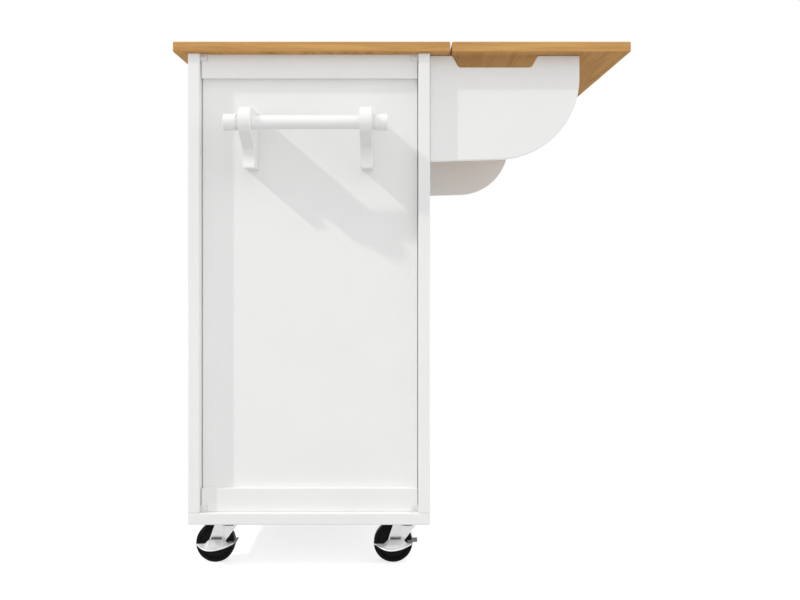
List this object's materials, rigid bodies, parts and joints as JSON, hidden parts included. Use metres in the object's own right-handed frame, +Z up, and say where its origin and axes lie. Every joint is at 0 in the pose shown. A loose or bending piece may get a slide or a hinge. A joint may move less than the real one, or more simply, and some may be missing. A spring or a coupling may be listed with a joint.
{
  "type": "rolling kitchen island",
  "caption": "Rolling kitchen island with a wooden worktop, a raised drop leaf on swing-out supports, drawers, cupboards, a towel bar and braked swivel casters.",
  "frame": {"origin": "on the floor, under the middle of the object's bounding box", "axes": "+X along the worktop's length towards the towel bar's end, -Y towards the drawers and doors, +Y towards the drop leaf, +Z up"},
  "size_m": [1.188, 0.7814, 0.904],
  "materials": {
    "oak": "clear satin lacquer on honey oak",
    "white_paint": "satin white paint on board",
    "white_plastic": "satin white moulding",
    "drawer_board": "smooth white board",
    "zinc_steel": "bright zinc plate",
    "knob_metal": "satin nickel",
    "black_tyre": "moulded black, half matt"
  },
  "bodies": {
    "cabinet": {"worktop": "oak", "base_board": "white_paint", "end_panel_right": "white_paint", "end_panel_left": "white_paint", "end_rails_right": "white_paint", "end_rails_left": "white_paint", "corner_connectors": "white_plastic", "front_post_right": "white_paint", "front_post_left": "white_paint", "front_centre_post": "white_paint", "front_rails": "white_paint", "rear_post_right": "white_paint", "rear_post_left": "white_paint", "rear_rails": "white_paint", "back_panel": "white_paint", "partition": "white_paint", "shelves": "white_paint", "shelf_pins": "zinc_steel", "drawer_runners": "zinc_steel", "door_catches": "white_plastic", "towel_brackets": "white_paint", "towel_bar": "white_paint", "towel_bar_caps": "white_paint", "caster_plates": "zinc_steel", "caster_screws": "zinc_steel", "door_hinge_plates": "zinc_steel", "leaf_hinge_plates": "zinc_steel", "support_hinge_plates": "zinc_steel"},
    "leaf": {"drop_leaf": "oak", "leaf_hinge_flaps": "zinc_steel"},
    "support_right": {"support_right": "white_paint", "support_hinge_flap_right": "zinc_steel"},
    "support_left": {"support_left": "white_paint", "support_hinge_flap_left": "zinc_steel"},
    "door_right": {"door_right": "white_paint", "door_knob_right": "knob_metal", "door_hinge_flaps_right": "zinc_steel"},
    "door_left": {"door_left": "white_paint", "door_knob_left": "knob_metal", "door_hinge_flaps_left": "zinc_steel"},
    "drawer_right": {"drawer_front_right": "white_paint", "drawer_box_right": "drawer_board", "drawer_knob_right": "knob_metal", "drawer_slides_right": "zinc_steel"},
    "drawer_left": {"drawer_front_left": "white_paint", "drawer_box_left": "drawer_board", "drawer_knob_left": "knob_metal", "drawer_slides_left": "zinc_steel"},
    "caster_front_right": {"caster_fork_front_right": "zinc_steel"},
    "wheel_front_right": {"caster_wheel_front_right": "black_tyre"},
    "brake_front_right": {"caster_brake_front_right": "zinc_steel"},
    "caster_rear_right": {"caster_fork_rear_right": "zinc_steel"},
    "wheel_rear_right": {"caster_wheel_rear_right": "black_tyre"},
    "brake_rear_right": {"caster_brake_rear_right": "zinc_steel"},
    "caster_front_left": {"caster_fork_front_left": "zinc_steel"},
    "wheel_front_left": {"caster_wheel_front_left": "black_tyre"},
    "brake_front_left": {"caster_brake_front_left": "zinc_steel"},
    "caster_rear_left": {"caster_fork_rear_left": "zinc_steel"},
    "wheel_rear_left": {"caster_wheel_rear_left": "black_tyre"},
    "brake_rear_left": {"caster_brake_rear_left": "zinc_steel"}
  },
  "joints": [
    {"name": "leaf_hinge", "type": "hinge", "parent": "cabinet", "child": "leaf", "pos_m": [-0.034, 0.08425, 0.8825], "axis": [1, 0, 0], "range_deg": [0, 6]},
    {"name": "support_hinge_right", "type": "hinge", "parent": "cabinet", "child": "support_right", "pos_m": [0.481, 0.05175, 0.8], "axis": [0, 0, 1], "range_deg": [0, 90]},
    {"name": "door_hinge_right", "type": "hinge", "parent": "cabinet", "child": "door_right", "pos_m": [0.481, -0.37025, 0.4], "axis": [0, 0, 1], "range_deg": [0, 110]},
    {"name": "drawer_slide_right", "type": "slide", "parent": "cabinet", "child": "drawer_right", "axis": [0, -1, 0], "range_m": [0, 0.26]},
    {"name": "support_hinge_left", "type": "hinge", "parent": "cabinet", "child": "support_left", "pos_m": [-0.549, 0.05175, 0.8], "axis": [0, 0, -1], "range_deg": [0, 90]},
    {"name": "door_hinge_left", "type": "hinge", "parent": "cabinet", "child": "door_left", "pos_m": [-0.549, -0.37025, 0.4], "axis": [0, 0, -1], "range_deg": [0, 110]},
    {"name": "drawer_slide_left", "type": "slide", "parent": "cabinet", "child": "drawer_left", "axis": [0, -1, 0], "range_m": [0, 0.26]},
    {"name": "swivel_front_right", "type": "hinge", "parent": "cabinet", "child": "caster_front_right", "pos_m": [0.467, -0.30875, 0.07], "axis": [0, 0, 1], "continuous": true},
    {"name": "roll_front_right", "type": "hinge", "parent": "caster_front_right", "child": "wheel_front_right", "pos_m": [0.467, -0.32775, 0.034], "axis": [1, 0, 0], "continuous": true},
    {"name": "brake_pedal_front_right", "type": "hinge", "parent": "caster_front_right", "child": "brake_front_right", "pos_m": [0.4853, -0.32775, 0.043], "axis": [0, 1, 0], "range_deg": [0, 12]},
    {"name": "swivel_rear_right", "type": "hinge", "parent": "cabinet", "child": "caster_rear_right", "pos_m": [0.467, 0.00375, 0.07], "axis": [0, 0, 1], "continuous": true},
    {"name": "roll_rear_right", "type": "hinge", "parent": "caster_rear_right", "child": "wheel_rear_right", "pos_m": [0.467, -0.01525, 0.034], "axis": [1, 0, 0], "continuous": true},
    {"name": "brake_pedal_rear_right", "type": "hinge", "parent": "caster_rear_right", "child": "brake_rear_right", "pos_m": [0.4853, -0.01525, 0.043], "axis": [0, 1, 0], "range_deg": [0, 12]},
    {"name": "swivel_front_left", "type": "hinge", "parent": "cabinet", "child": "caster_front_left", "pos_m": [-0.535, -0.30875, 0.07], "axis": [0, 0, 1], "continuous": true},
    {"name": "roll_front_left", "type": "hinge", "parent": "caster_front_left", "child": "wheel_front_left", "pos_m": [-0.535, -0.28975, 0.034], "axis": [1, 0, 0], "continuous": true},
    {"name": "brake_pedal_front_left", "type": "hinge", "parent": "caster_front_left", "child": "brake_front_left", "pos_m": [-0.5533, -0.28975, 0.043], "axis": [0, -1, 0], "range_deg": [0, 12]},
    {"name": "swivel_rear_left", "type": "hinge", "parent": "cabinet", "child": "caster_rear_left", "pos_m": [-0.535, 0.00375, 0.07], "axis": [0, 0, 1], "continuous": true},
    {"name": "roll_rear_left", "type": "hinge", "parent": "caster_rear_left", "child": "wheel_rear_left", "pos_m": [-0.535, 0.02275, 0.034], "axis": [1, 0, 0], "continuous": true},
    {"name": "brake_pedal_rear_left", "type": "hinge", "parent": "caster_rear_left", "child": "brake_rear_left", "pos_m": [-0.5533, 0.02275, 0.043], "axis": [0, -1, 0], "range_deg": [0, 12]}
  ]
}
